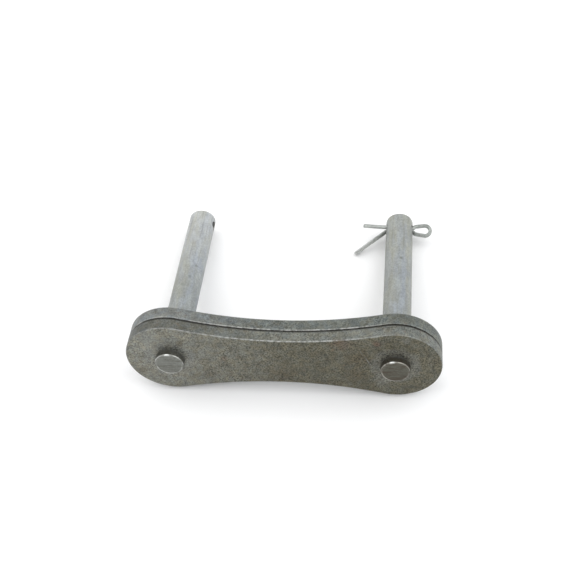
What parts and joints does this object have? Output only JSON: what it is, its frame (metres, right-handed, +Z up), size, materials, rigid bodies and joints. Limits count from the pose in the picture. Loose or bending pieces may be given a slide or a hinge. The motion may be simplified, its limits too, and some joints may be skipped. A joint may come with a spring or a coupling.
{
  "type": "chain connecting link",
  "caption": "Connecting link for a long-pitch roller chain: a waisted plate with fixed pins, a loose cover plate that slides on them, and a split cotter pin.",
  "frame": {"origin": "middle of the link's box, on the ground that it lies on", "axes": "+X along the pitch line towards the pin with the cotter, +Y along the pins away from their heads as seen from above, +Z up; the pins slope down towards +Y because the link lies on its cover plate's lower edge and on the pins' far ends"},
  "size_m": [0.0582, 0.0402, 0.0174],
  "materials": {
    "plate_steel": "blanked and tumbled bare steel, dull grey with faint brown stains, edges worn bright",
    "pin_steel": "ground bright steel, fine turning marks on the head",
    "cotter_wire": "drawn half-round wire, lightly zinc plated"
  },
  "bodies": {
    "link": {"fixed_plate": "plate_steel", "left_pin": "pin_steel", "right_pin": "pin_steel", "cotter_pin": "cotter_wire"},
    "cover": {"cover_plate": "plate_steel"}
  },
  "joints": [
    {"name": "cover_slide", "type": "slide", "parent": "link", "child": "cover", "axis": [0, 0.9855, -0.1698], "range_m": [0, 0.0262]}
  ]
}
